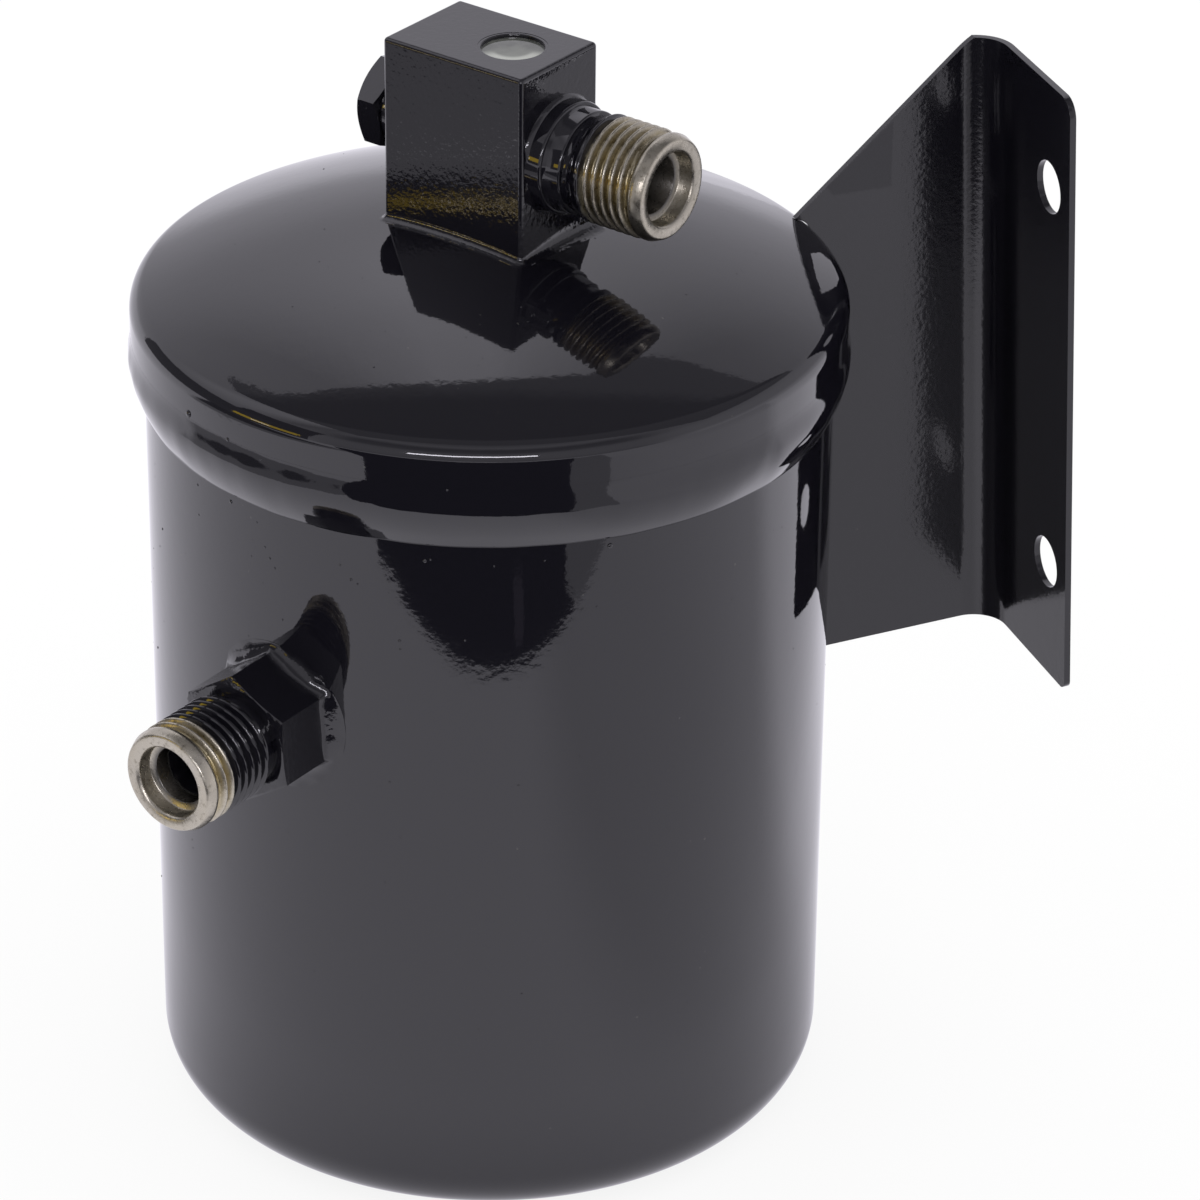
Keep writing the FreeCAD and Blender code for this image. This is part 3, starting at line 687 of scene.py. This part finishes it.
class OBJECT_OT_drier_block(DrierPiece):
    """Show the block with rounded edges, its fillet, the plug and the plug's washer"""

    bl_idname = "object.drier_block"
    bl_label = "Block and plug"

    fillet_growth = 1.7
    fillet_droop = 0.12
    fillet_lift = 0.6
    lift_reach = 1.2
    block_half = 8.9
    on_face = 0.2

    def build(self, scene):
        paint = gloss_black("block_black", 1.2, 9.5)
        soft_piece("block_body", "top_block", paint, 0.18, 50)
        fillet = self.grown_fillet()
        add_piece("block_fillet", fillet, paint, ["block_weld"], sharp=70)
        soft_piece("plug_head", "block_plug", paint, 0.15)
        soft_piece("plug_washer", "plug_seal", rubber(), 0.15)

    def grown_fillet(self):
        """The fillet's mesh, drawn out along the side below the outlet, where more braze ran."""
        bm = merged_copy("block_weld")
        turn = math.radians(OUTLET_ANGLE)
        out = Vector((math.cos(turn), math.sin(turn), 0))
        side = Vector((-out.y, out.x, 0))
        half = self.block_half * MM
        foot = min(vert.co.z for vert in bm.verts)
        for vert in bm.verts:
            beyond = vert.co.dot(out) - OUTLET_FACE * MM
            growth = self.fillet_growth * clamp((vert.co.dot(side) / half + 1) / 2)
            if beyond > 0:
                vert.co += out * beyond * growth
                vert.co.z -= beyond * growth * self.fillet_droop
            if beyond > -self.on_face * MM:
                fade = max(0.0, 1 - beyond / (self.lift_reach * MM))
                vert.co.z += (vert.co.z - foot) * growth * self.fillet_lift * fade
        return bm


class OBJECT_OT_drier_sight_glass(DrierPiece):
    """Set the window and its shell in the block's top"""

    bl_idname = "object.drier_sight_glass"
    bl_label = "Sight glass"

    steps = 96
    dome = 45.0
    port = 2.6
    lip = 0.16
    overlap = 0.02

    def build(self, scene):
        low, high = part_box("sight_glass")
        middle = (low + high) / 2
        radius = (high[0] - low[0]) / 2 / MM
        bottom, top = low[2] / MM, high[2] / MM
        edge = math.degrees(math.acos(radius / self.dome))
        section = [(0, bottom), (radius, bottom)]
        section += arc((0, top - self.dome), self.dome, edge, 90, 16)
        pane = self.turned_at(middle, section)
        glass = self.milky_glass(middle, radius)
        add_piece("window", pane, glass, ["sight_glass"])
        shell = self.turned_at(middle, self.shell_section(radius))
        paint = bpy.data.materials["block_black"]
        add_piece("window_shell", shell, paint, ["sight_glass_shell"])

    def turned_at(self, middle, section):
        """A half section turned about the window's own axis."""
        bm = lathe(section, self.steps)
        bmesh.ops.translate(bm, verts=bm.verts, vec=(middle[0], middle[1], 0))
        return bm

    def shell_section(self, radius):
        """The shell round the window, filled up to the block's top by the paint."""
        well, inner = radius + 0.5, radius - self.overlap
        low = span("sight_glass_shell", 2)[0]
        floor = span("sight_glass", 2)[0]
        section = [(self.port, low), (well, low), (well, BLOCK_TOP - 0.06)]
        section += arc((radius + self.lip, BLOCK_TOP - 0.2), self.lip, 90, 175, 6)
        return section + [(inner, BLOCK_TOP - 0.7), (inner, floor), (self.port, floor)]

    def milky_glass(self, middle, radius):
        """Pale window with painted light, lighter to one side and brightest in a crescent, and a
        ragged rim of paint.
        """
        shader = Shader("window_pane", (0.2, 0.2, 0.2), 0.06, IOR=1.5)
        flat = shader.node("ShaderNodeMapping", {}, {
            "Vector": shader.place, "Location": (-middle[0], -middle[1], 0), "Scale": (1, 1, 0)})
        away = shader.node("ShaderNodeVectorMath", {"operation": "LENGTH"}, {0: flat},
                           output="Value") * (1 / MM)
        across, along, _ = flat.split()
        lower = (across * TOWARD_CAMERA[0] + along * TOWARD_CAMERA[1]) * (1 / MM)
        ragged = shader.noise(1.3, 4.0, 0.65, seed=1.0) - 0.5
        painted = (away + ragged * 0.5).ramp(radius - 0.12, radius - 0.04)
        # Painted highlight: a bright crescent near the rim on the camera's side
        painted_crescent = away.ramp(2.4, 3.3) * lower.ramp(0.2, 2.4)
        cloud = shader.noise(2.5, 4.0, seed=9.0)
        pane = shader.mix(cloud.ramp(0.35, 0.7), (0.06, 0.063, 0.058), (0.11, 0.114, 0.103))
        # Painted light: the pane grows lighter towards the camera's side
        pane = shader.mix(lower.ramp(-2.0, 3.4) * 0.65, pane, (0.23, 0.24, 0.215))
        pane = shader.mix(painted_crescent, pane, (0.42, 0.43, 0.4))
        paint = bpy.context.scene.drier_paint
        shader.feed("Base Color", shader.mix(painted, pane, paint.colour))
        shader.feed("Normal", shader.bump(painted, 0.05))
        return shader.material


class OBJECT_OT_drier_outlet(DrierPiece):
    """Turn the outlet fitting with its thread, and show its braze"""

    bl_idname = "object.drier_outlet"
    bl_label = "Outlet fitting"

    reach = 32.5
    spigot = 6.4
    spigot_depth = 7.0
    collar = 8.35
    neck = 7.35
    groove = 7.12
    thread_from = 6.8

    def build(self, scene):
        thread = scene.drier_thread
        face, inner = OUTLET_FACE, OUTLET_FACE - self.spigot_depth
        start, end = face + self.thread_from, self.reach - THREAD_STOP
        section = [(self.spigot, inner), (self.spigot, face - 0.05), (self.collar, face - 0.05)]
        section += arc((7.95, face + 2.3), 0.4, 0, 90, 5) + [(7.85, face + 2.7)]
        section += arc((self.neck, face + 3.1), 0.35, 0, 30, 2)
        section += arc((self.neck, face + 5.3), 0.35, 0, 80, 4)
        section += [(self.groove, face + 5.75)] + barrel(start, end, thread.crest_radius)
        section += nose(end, self.reach, inner)
        # The outlet's steel gets a fifth of painted shade
        steel = part_painted_steel("outlet_steel", start + 2.2, start + 2.7, 0.8)
        add_fitting("outlet_barrel", "outlet_fitting", section, (start, end),
                    (OUTLET_ANGLE, OUTLET_HEIGHT), steel)
        paint = bpy.data.materials["block_black"]
        soft_piece("outlet_fillet", "outlet_braze", paint, 0.1)


class OBJECT_OT_drier_inlet(DrierPiece):
    """Turn the inlet fitting with its hexagon and thread, and lay its weld on the can"""

    bl_idname = "object.drier_inlet"
    bl_label = "Inlet fitting"

    reach = 75.3
    neck = 7.1
    core = 6.9
    hex_face = 60.3
    hex_chamfer = 1.3
    hex_flatten = 0.5
    hex_apothem = 8.75
    hex_turn = 3.5
    weld_steps = 192

    def build(self, scene):
        thread = scene.drier_thread
        paint = bpy.data.materials["block_black"]
        start, end = self.hex_face + 1.2, self.reach - THREAD_STOP
        inner = self.hex_face - 1.5
        section = [(self.core, inner), (self.neck, self.hex_face), (self.neck, start - 0.1)]
        section += barrel(start, end, thread.crest_radius) + nose(end, self.reach, inner)
        steel = part_painted_steel("inlet_steel", self.reach - 5.6, self.reach - 5.0)
        add_fitting("inlet_barrel", "inlet_fitting", section, (start, end),
                    (INLET_ANGLE, INLET_HEIGHT), steel)
        self.add_hexagon(paint)
        self.add_weld(paint)

    def add_hexagon(self, paint):
        """The hexagon and the spigot, cut from the solid just behind the barrel."""
        bm = merged_copy("inlet_fitting")
        turn = math.radians(INLET_ANGLE)
        out = Vector((math.cos(turn), math.sin(turn), 0))
        cut = out * (self.hex_face - 0.002) * MM + Vector((0, 0, INLET_HEIGHT * MM))
        made = bmesh.ops.bisect_plane(bm, geom=bm.verts[:] + bm.edges[:] + bm.faces[:],
                                      dist=SAME_POINT, plane_co=cut, plane_no=out,
                                      clear_outer=True)
        rim = [e for e in made["geom_cut"] if isinstance(e, bmesh.types.BMEdge)]
        bmesh.ops.holes_fill(bm, edges=rim, sides=0)
        for vert in bm.verts:
            behind = self.hex_face * MM - vert.co.dot(out)
            if behind < self.hex_chamfer * MM:
                vert.co += out * behind * self.hex_flatten
        soften(bm, 0.2)
        even_shading(add_piece("inlet_hexagon", bm, paint, sharp=40))

    def add_weld(self, paint):
        """Concave fillet that follows the hexagon's sides, bent to the can's wall."""
        inner, outer, rise, root = 8.4, 11.6, 1.8, -0.6
        section = [(inner, root), (inner, rise)]
        for turn in ladder(0, math.pi / 2, math.pi / 24):
            across, up = 1 - math.cos(turn), 1 - math.sin(turn)
            section.append((inner + (outer - inner) * across, rise * up + 0.05))
        section.append((outer, root))
        bm = lathe(section, self.weld_steps)
        for vert in bm.verts:
            radius = math.hypot(vert.co.x, vert.co.y) / MM
            spread = (radius - inner) / (outer - inner)
            turn = math.degrees(math.atan2(vert.co.y, vert.co.x)) - self.hex_turn
            from_flat = math.radians(turn % 60 - 30)
            wanted = (1 - spread) * self.hex_apothem / math.cos(from_flat) + spread * outer
            vert.co.x *= wanted / radius
            vert.co.y *= wanted / radius
            side = vert.co.y / MM
            wobble = noise.noise(vert.co / MM * 0.35) * 0.2
            vert.co.z += (math.sqrt(CAN_RADIUS ** 2 - side ** 2) + wobble) * MM
        aim(bm, INLET_ANGLE, INLET_HEIGHT)
        add_piece("inlet_fillet", bm, paint, ["inlet_weld"], sharp=60)


class OBJECT_OT_drier_bracket(DrierPiece):
    """Show the bracket with its edges broken, and its welds"""

    bl_idname = "object.drier_bracket"
    bl_label = "Mounting bracket"

    def build(self, scene):
        paint = gloss_black("bracket_black", 2.0, 7.0, 0.09)
        soft_piece("bracket_sheet", "mounting_bracket", paint, 0.16)
        soft_piece("bracket_fillets", "bracket_weld", paint, 0.5)


class OBJECT_OT_drier_paint_nibs(DrierPiece):
    """Stick dried drops and grit in the paint"""

    bl_idname = "object.drier_paint_nibs"
    bl_label = "Nibs in the paint"

    seed = 8
    wall_grit = 150
    crown_grit = 70
    crown_reach = 46
    finest = 0.06

    def build(self, scene):
        """Drops at known places on the wall and the skirt, and a scatter of fine grit."""
        bm = bmesh.new()
        for turn, height, size in NIBS:
            radius = SKIRT_RADIUS if height > SKIRT_BOTTOM else CAN_RADIUS
            self.add_nib(bm, turn, height, radius, size)
        scatter = random.Random(self.seed)
        for _ in range(self.wall_grit):
            height = 10 + 100 * scatter.random() ** 0.6
            turn = scatter.uniform(0, 360)
            size = self.finest + 0.14 * scatter.random() ** 3
            self.add_nib(bm, turn, height, CAN_RADIUS, size)
        vessel = scene.drier_vessel
        crown_middle = vessel.crown_height - vessel.crown_radius
        for _ in range(self.crown_grit):
            away = self.crown_reach * scatter.uniform(0.35, 1.0)
            height = crown_middle + math.sqrt(vessel.crown_radius ** 2 - away ** 2)
            turn = scatter.uniform(0, 360)
            size = self.finest + 0.1 * scatter.random() ** 3
            self.add_nib(bm, turn, height, away, size, up=True)
        paint = bpy.data.materials["gloss_black"]
        add_piece("paint_nibs", bm, paint, sharp=180)

    def add_nib(self, bm, turn, height, radius, size, up=False):
        """One low drop on a wall, or on the crown."""
        angle = math.radians(turn)
        spot = Vector((math.cos(angle) * radius, math.sin(angle) * radius, height)) * MM
        squash = Matrix.Diagonal((1, 1, 0.5, 1)) if up else Matrix.Diagonal((0.55, 1, 1.1, 1))
        lay = Matrix.Translation(spot) @ Matrix.Rotation(angle, 4, "Z") @ squash
        bmesh.ops.create_icosphere(bm, subdivisions=2, radius=size * MM, matrix=lay)


class OBJECT_OT_drier_inner_parts(DrierPiece):
    """Give the pieces inside the can their finishes"""

    bl_idname = "object.drier_inner_parts"
    bl_label = "Pieces inside"

    def build(self, scene):
        finishes = {
            "seal": rubber(),
            "steel": self.grained("inner_steel", (0.5, 0.5, 0.5), 0.35, 1.0, 0.6),
            "aluminium": self.grained("tube_aluminium", (0.72, 0.72, 0.73), 0.3, 1.0, 0.6),
            "brass": self.grained("strainer_brass", (0.65, 0.47, 0.2), 0.35, 1.0, 0.5),
            "felt": self.grained("felt", (0.72, 0.7, 0.62), 0.95, 0.0, 0.4),
            "beads": self.grained("beads", (0.62, 0.5, 0.33), 0.7, 0.0, 2.2),
        }
        nodes = {
            "seal": ("sight_glass_seal", "tube_grommet"),
            "steel": ("lower_plate", "upper_plate", "bed_spring"),
            "aluminium": ("pickup_tube",),
            "brass": ("strainer",),
            "felt": ("lower_filter_pad", "upper_filter_pad"),
            "beads": ("desiccant_bed",),
        }
        for finish, names in nodes.items():
            for name in names:
                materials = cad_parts[name].data.materials
                materials.clear()
                materials.append(finishes[finish])

    def grained(self, name, colour, roughness, metal, grain):
        """A finish with grains of a size in millimetres."""
        shader = Shader(name, colour, roughness, Metallic=metal)
        spots = shader.noise(grain, 3.0, 0.6)
        dark = tuple(c * 0.7 for c in colour)
        shader.feed("Base Color", shader.mix(spots.ramp(0.3, 0.7), dark, colour))
        shader.feed("Normal", shader.bump(spots, grain * 0.05))
        return shader.material


class OBJECT_OT_drier_studio(DrierPiece):
    """Set the floor, the room that the paint mirrors, the light and the camera"""

    bl_idname = "object.drier_studio"
    bl_label = "Studio"

    def build(self, scene):
        self.add_world(scene)
        self.add_floor()
        self.add_room()
        self.add_cards()
        self.add_camera(scene)
        scene.view_settings.view_transform = "Standard"

    def add_world(self, scene):
        """White all round."""
        world = bpy.data.worlds.new("white_room")
        scene.world = world
        world.use_nodes = True
        light = world.node_tree.nodes["Background"].inputs
        light["Color"].default_value = (1, 1, 1, 1)
        light["Strength"].default_value = 1.0

    def place(self, name, bm, material):
        """Put a shape of the studio in the scene, its Y axis straight away from the camera."""
        mesh = bpy.data.meshes.new(name)
        bm.to_mesh(mesh)
        bm.free()
        mesh.materials.append(material)
        made = bpy.data.objects.new(name, mesh)
        made.rotation_euler.z = math.radians(VIEW_HEADING)
        bpy.context.scene.collection.objects.link(made)
        made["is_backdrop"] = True
        return made

    def mirrored_only(self, made):
        """Let only reflections see a shape."""
        for ray in ("camera", "diffuse", "shadow", "transmission"):
            setattr(made, f"visible_{ray}", False)

    def mirrored_light(self, shader, colour):
        """Light of a colour, with the tint that the paint's reflections have."""
        tinted = shader.mix(1.0, colour, MIRROR_TINT, "MULTIPLY")
        return shader.node("ShaderNodeEmission", {}, {"Color": tinted})

    def glow(self, name, shine):
        """A material that shines with a colour, which may vary from place to place."""
        shader = Shader(name, (0, 0, 0), 1.0)
        colour = shine(shader) if callable(shine) else shine
        shader.show(self.mirrored_light(shader, colour))
        return shader.material

    def add_floor(self):
        """White sheet under the drier, which keeps a soft shadow and mirrors as a lit table."""
        bm = bmesh.new()
        bmesh.ops.create_grid(bm, x_segments=1, y_segments=1, size=FLOOR_SIZE)
        shader = Shader("white_sheet", (0.93, 0.93, 0.93), 1.0)
        camera, glossy, clear = (
            shader.node("ShaderNodeLightPath", output=f"Is {ray} Ray")
            for ray in ("Camera", "Glossy", "Transmission"))
        sheet = Value(shader, shader.surface.outputs[0])
        white = shader.node("ShaderNodeEmission", {}, {"Color": (1.02, 1.02, 1.02)})
        table = self.mirrored_light(shader, self.table_level(shader))
        seen = shader.node("ShaderNodeMixShader", {}, {0: camera * 0.85, 1: sheet, 2: white})
        shader.show(shader.node("ShaderNodeMixShader", {}, {0: glossy + clear, 1: seen, 2: table}))
        self.place("floor", bm, shader.material)

    def distance(self, x, y):
        """How far a level place is from the origin."""
        return (x * x + y * y) ** 0.5

    def table_level(self, shader):
        """How bright the table is in reflections, by place in metres."""
        x, y, _ = shader.place.split()
        level = 1.08 - x.ramp(0.03, 0.09) * 0.2 + x.ramp(0.16, 0.26) * 0.08
        # Painted shadow of the drier: duller at the foot, and most of all in a spot just behind
        # the can
        level = level * (0.8 + self.distance(x, y).ramp(0.05, 0.085) * 0.2)
        level = level * (0.5 + self.distance(x - 0.01, y - 0.095).ramp(0.02, 0.055) * 0.5)
        # Painted light: paler to the right, behind the bracket
        level = level * (1 + x.ramp(0.06, 0.12) * y.ramp(-0.01, 0.04) * 0.42)
        # Dark past the table's left edge
        left = (0 - x).ramp(0.298, 0.31) * y.ramp(-0.5, -0.42) * (1 - y.ramp(0.04, 0.08))
        beyond = (0 - x).ramp(0.42, 0.45)
        return level * (1 - left * (0.54 + beyond * 0.36))

    def add_room(self):
        """A shell all round with the room's brightness by direction, for reflections only."""
        bm = bmesh.new()
        bmesh.ops.create_icosphere(bm, subdivisions=5, radius=ROOM_RADIUS)
        self.mirrored_only(self.place("room", bm, self.glow("room", self.room_level)))

    def room_level(self, shader):
        """The room's brightness by compass direction, with 0 straight away, and by height."""
        x, y, z = shader.place.split()
        degrees = 180 / math.pi
        turn = shader.node("ShaderNodeMath", {"operation": "ARCTAN2"}, {0: x, 1: y}) * degrees
        sine = z / ROOM_RADIUS
        rise = shader.node("ShaderNodeMath", {"operation": "ARCSINE"}, {0: sine}) * degrees
        high = shader.curve(turn / 360 + 0.5, [((a + 180) / 360, v) for a, v in ROOM_HIGH])
        front = shader.curve(rise / 180 + 0.5, [((a + 90) / 180, v) for a, v in ROOM_FRONT])
        low = 0.82 + (1 - rise.ramp(3, 12)) * 0.28
        back = shader.blend(rise.ramp(22, 48), low, high)
        camera_side = (turn * turn).ramp(112 ** 2, 136 ** 2)
        return shader.blend(camera_side, back, front)

    def add_cards(self):
        """Dark ceiling and table edge, two pale papers, a doorway, a wall and three lamps."""
        for name, corners, shine in (
            ("ceiling", [(x, y, CEILING_AT) for x, y in CEILING], self.ceiling_level),
            ("table_edge", [(x, y, 1) for x, y in TABLE_EDGE], (0.035, 0.035, 0.04)),
            ("table_side", [(x, y, 1.5) for x, y in TABLE_SIDE], (0.5, 0.5, 0.5)),
            ("table_leg", [(x, y, 2) for x, y in TABLE_LEG], (0.13, 0.12, 0.14)),
            ("side_paper", [(SIDE_PAPER_AT, y, z) for y, z in SIDE_PAPER], (0.62, 0.62, 0.62)),
            ("web_paper", self.beside_web(WEB_PAPER), (0.78, 0.78, 0.78)),
            ("doorway", self.upright(-110, 1400, 30, 40, 1050), (0.13, 0.13, 0.13)),
            ("left_wall", self.upright(-84, 1450, 68, 40, 620), (0.16, 0.16, 0.16)),
            ("long_lamp", [(x, LONG_LAMP_AT, z) for x, z in LONG_LAMP], (15, 15, 15)),
            ("warm_lamp", self.upright(-108.5, 1150, 7, 196, 216), (9, 8.5, 7.2)),
            ("gold_lamp", self.upright(-110, 1210, 24, 150, 285), (2.4, 1.7, 0.15)),
        ):
            bm = bmesh.new()
            bm.faces.new([bm.verts.new(Vector(corner) * MM) for corner in corners])
            self.mirrored_only(self.place(name, bm, self.glow(name, shine)))

    def upright(self, turn, away, width, low, high):
        """Corners of an upright card that faces the drier, with its width in degrees."""
        sides = [math.radians(turn - width / 2), math.radians(turn + width / 2)]
        foot = [(away * math.sin(s), away * math.cos(s)) for s in sides]
        return [(*foot[0], low), (*foot[1], low), (*foot[1], high), (*foot[0], high)]

    def beside_web(self, outline):
        """Corners of a card that stands along the bracket's web, turned to the camera's axes."""
        turn = Matrix.Rotation(math.radians(-VIEW_HEADING), 4, "Z")
        return [turn @ Vector((x, WEB_PAPER_AT, z)) for x, z in outline]

    def ceiling_level(self, shader):
        """The ceiling is palest near its far edge and overhead."""
        x, y, _ = shader.place.split()
        bowed = y - x * x * 0.6
        return 0.16 + bowed.ramp(0.40, 0.47) * 0.11 + (1 - bowed.ramp(0.0, 0.2)) * 0.13

    def add_camera(self, scene):
        """The photograph's viewpoint, turned a little to the right to centre the drier."""
        lens = bpy.data.cameras.new("viewpoint")
        lens.sensor_width = 36.0
        lens.lens = LENS
        lens.clip_start = 0.01
        lens.clip_end = 50
        camera = bpy.data.objects.new("viewpoint", lens)
        scene.collection.objects.link(camera)
        tilt = Matrix.Rotation(math.radians(90 - LOOK_DOWN), 4, "X")
        heading = Matrix.Rotation(math.radians(VIEW_HEADING), 4, "Z")
        pan = Matrix.Rotation(-math.atan(SHIFT_PIXELS / FOCAL_PIXELS), 4, "Y")
        place = Matrix.Translation(CAMERA_PLACE)
        camera.matrix_world = place @ heading @ tilt @ pan
        scene.camera = camera


class VIEW3D_PT_drier(bpy.types.Panel):
    """Sizes, colours and steps of the drier"""

    bl_idname = "VIEW3D_PT_drier"
    bl_label = "Receiver drier"
    bl_space_type = "VIEW_3D"
    bl_region_type = "UI"
    bl_category = "Drier"

    def draw(self, context):
        layout = self.layout
        for group_name in GROUPS:
            group = getattr(context.scene, group_name)
            box = layout.box()
            for name in group.bl_rna.properties.keys():
                if name not in ("rna_type", "name"):
                    box.prop(group, name)
        for step in STEPS:
            layout.operator(step.bl_idname)


GROUPS = {"drier_paint": DrierPaint, "drier_thread": DrierThread, "drier_vessel": DrierVessel}
STEPS = (
    OBJECT_OT_drier_vessel,
    OBJECT_OT_drier_block,
    OBJECT_OT_drier_sight_glass,
    OBJECT_OT_drier_outlet,
    OBJECT_OT_drier_inlet,
    OBJECT_OT_drier_bracket,
    OBJECT_OT_drier_paint_nibs,
    OBJECT_OT_drier_inner_parts,
    OBJECT_OT_drier_studio,
)


def register():
    """Add the drier's properties, operators and panel."""
    for name, group in GROUPS.items():
        bpy.utils.register_class(group)
        setattr(bpy.types.Scene, name, PointerProperty(type=group))
    for step in STEPS:
        bpy.utils.register_class(step)
    bpy.utils.register_class(VIEW3D_PT_drier)


def unregister():
    """Take them away again."""
    bpy.utils.unregister_class(VIEW3D_PT_drier)
    for step in reversed(STEPS):
        bpy.utils.unregister_class(step)
    for name, group in GROUPS.items():
        delattr(bpy.types.Scene, name)
        bpy.utils.unregister_class(group)


def corners():
    """The shown object's lowest and highest corners as plain lists."""
    return [list(corner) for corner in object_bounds()]


def main():
    """Build everything in order."""
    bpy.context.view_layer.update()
    register()
    bpy.ops.object.drier_vessel()
    bpy.ops.object.drier_block()
    bpy.ops.object.drier_sight_glass()
    bpy.ops.object.drier_outlet()
    bpy.ops.object.drier_inlet()
    bpy.ops.object.drier_bracket()
    bpy.ops.object.drier_paint_nibs()
    bpy.ops.object.drier_inner_parts()
    bpy.ops.object.drier_studio()


if __name__ == "__main__":
    main()
